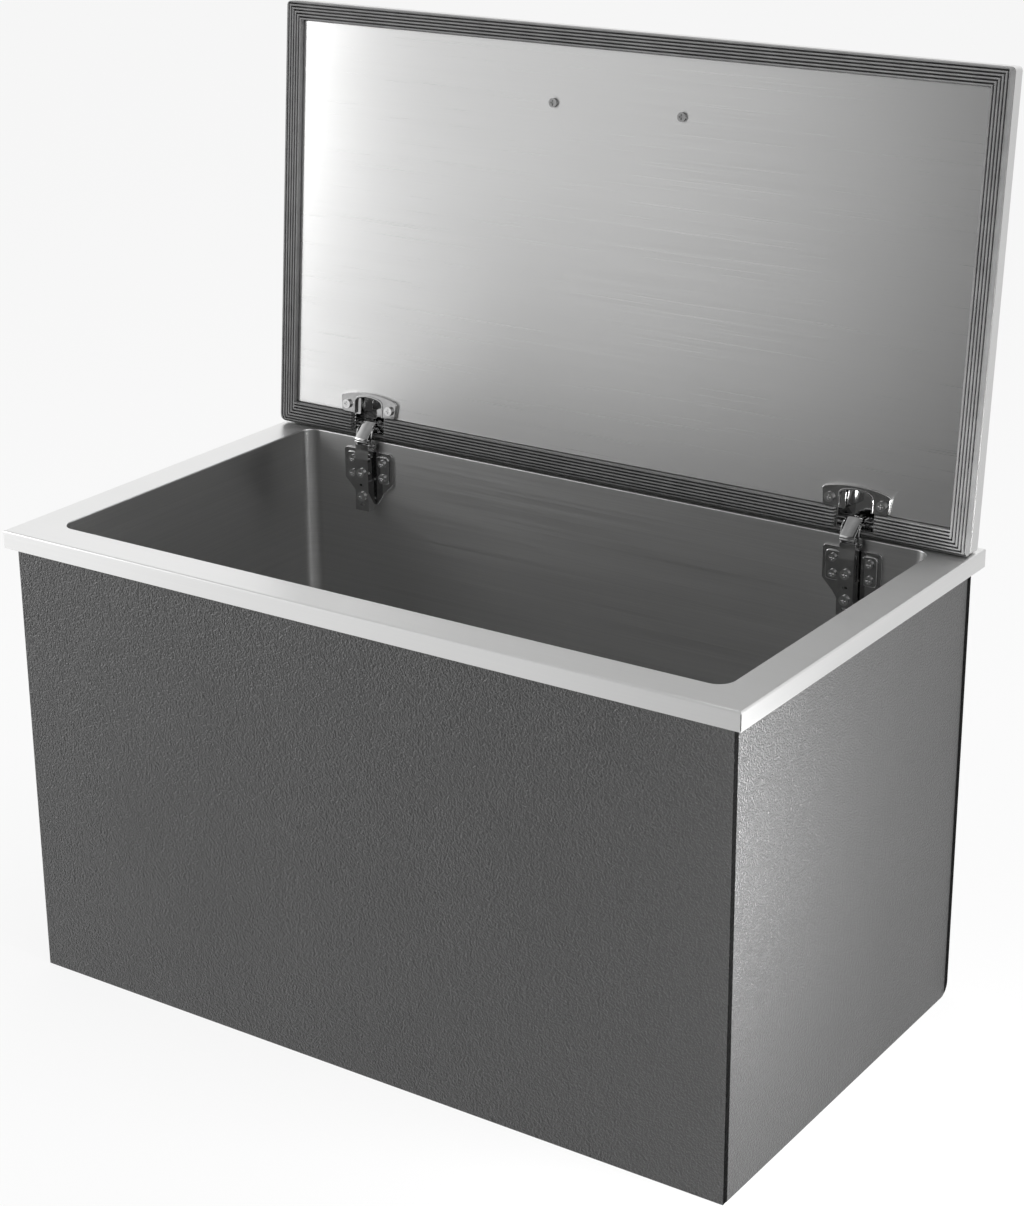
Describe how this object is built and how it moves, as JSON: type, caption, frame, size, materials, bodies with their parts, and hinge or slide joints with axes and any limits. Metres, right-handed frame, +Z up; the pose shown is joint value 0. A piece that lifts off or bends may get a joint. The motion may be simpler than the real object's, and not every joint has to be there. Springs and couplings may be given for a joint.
{
  "type": "drop in ice bin",
  "caption": "Insulated rectangular ice bin that drops into a counter, with a rim flange, bottom drain and a ribbed-seal lid on concealed cup hinges.",
  "frame": {"origin": "centre of the base under the flange's middle, in the plane that stands on the floor", "axes": "+X to the right seen from the front, +Y to the back, +Z up"},
  "size_m": [0.7112, 0.4638, 0.8025],
  "materials": {
    "brushed_stainless": "fine horizontal grain",
    "textured_coating": "charcoal orange-peel coating",
    "seal_rubber": "satin",
    "hinge_nickel": "nickel plate",
    "zinc_plate": "zinc plate",
    "brass": "turned",
    "foam": "rigid foam"
  },
  "bodies": {
    "bin": {"top_flange": "brushed_stainless", "inner_tub": "brushed_stainless", "case_front": "textured_coating", "case_back": "textured_coating", "case_left": "textured_coating", "case_right": "textured_coating", "case_bottom": "textured_coating", "case_corner_posts": "textured_coating", "foam_fill": "foam", "hinge_backing_plates": "zinc_plate", "drain_body": "brushed_stainless", "drain_strainer": "brushed_stainless", "drain_gasket": "seal_rubber", "drain_locknut": "brushed_stainless", "drain_tailpiece": "brass", "left_hinge_plate": "hinge_nickel", "right_hinge_plate": "hinge_nickel", "left_hinge_arm": "hinge_nickel", "right_hinge_arm": "hinge_nickel", "hinge_plate_screws": "hinge_nickel", "hinge_arm_screws": "hinge_nickel", "hinge_arm_pins": "hinge_nickel"},
    "lid": {"lid_skin": "brushed_stainless", "lid_inner_panel": "brushed_stainless", "lid_foam": "foam", "lid_seal": "seal_rubber", "lid_handle": "brushed_stainless", "handle_screws": "hinge_nickel", "left_hinge_cup": "hinge_nickel", "right_hinge_cup": "hinge_nickel", "hinge_cup_screws": "hinge_nickel", "hinge_cup_pins": "hinge_nickel"},
    "left_outer_link": {"left_outer_link": "hinge_nickel"},
    "right_outer_link": {"right_outer_link": "hinge_nickel"},
    "left_inner_link": {"left_inner_link": "hinge_nickel"},
    "right_inner_link": {"right_inner_link": "hinge_nickel"}
  },
  "joints": [
    {"name": "lid_swing", "type": "hinge", "parent": "left_outer_link", "child": "lid", "pos_m": [-0.2516, 0.17834, 0.41963], "axis": [1, 0, 0], "range_deg": [0, 85.41]},
    {"name": "left_outer_link_turn", "type": "hinge", "parent": "bin", "child": "left_outer_link", "pos_m": [-0.2516, 0.1615, 0.41167], "axis": [1, 0, 0], "range_deg": [0, 9.5]},
    {"name": "left_inner_link_turn", "type": "hinge", "parent": "bin", "child": "left_inner_link", "pos_m": [-0.2516, 0.16626, 0.40632], "axis": [1, 0, 0], "range_deg": [0, 28.5]},
    {"name": "right_outer_link_turn", "type": "hinge", "parent": "bin", "child": "right_outer_link", "pos_m": [0.2516, 0.1615, 0.41167], "axis": [1, 0, 0], "range_deg": [0, 9.5]},
    {"name": "right_inner_link_turn", "type": "hinge", "parent": "bin", "child": "right_inner_link", "pos_m": [0.2516, 0.16626, 0.40632], "axis": [1, 0, 0], "range_deg": [0, 28.5]}
  ],
  "couplings": [
    {"joint": "left_outer_link_turn", "follows": "lid_swing", "ratio": 0.11111},
    {"joint": "left_inner_link_turn", "follows": "lid_swing", "ratio": 0.33333},
    {"joint": "right_outer_link_turn", "follows": "lid_swing", "ratio": 0.11111},
    {"joint": "right_inner_link_turn", "follows": "lid_swing", "ratio": 0.33333}
  ]
}
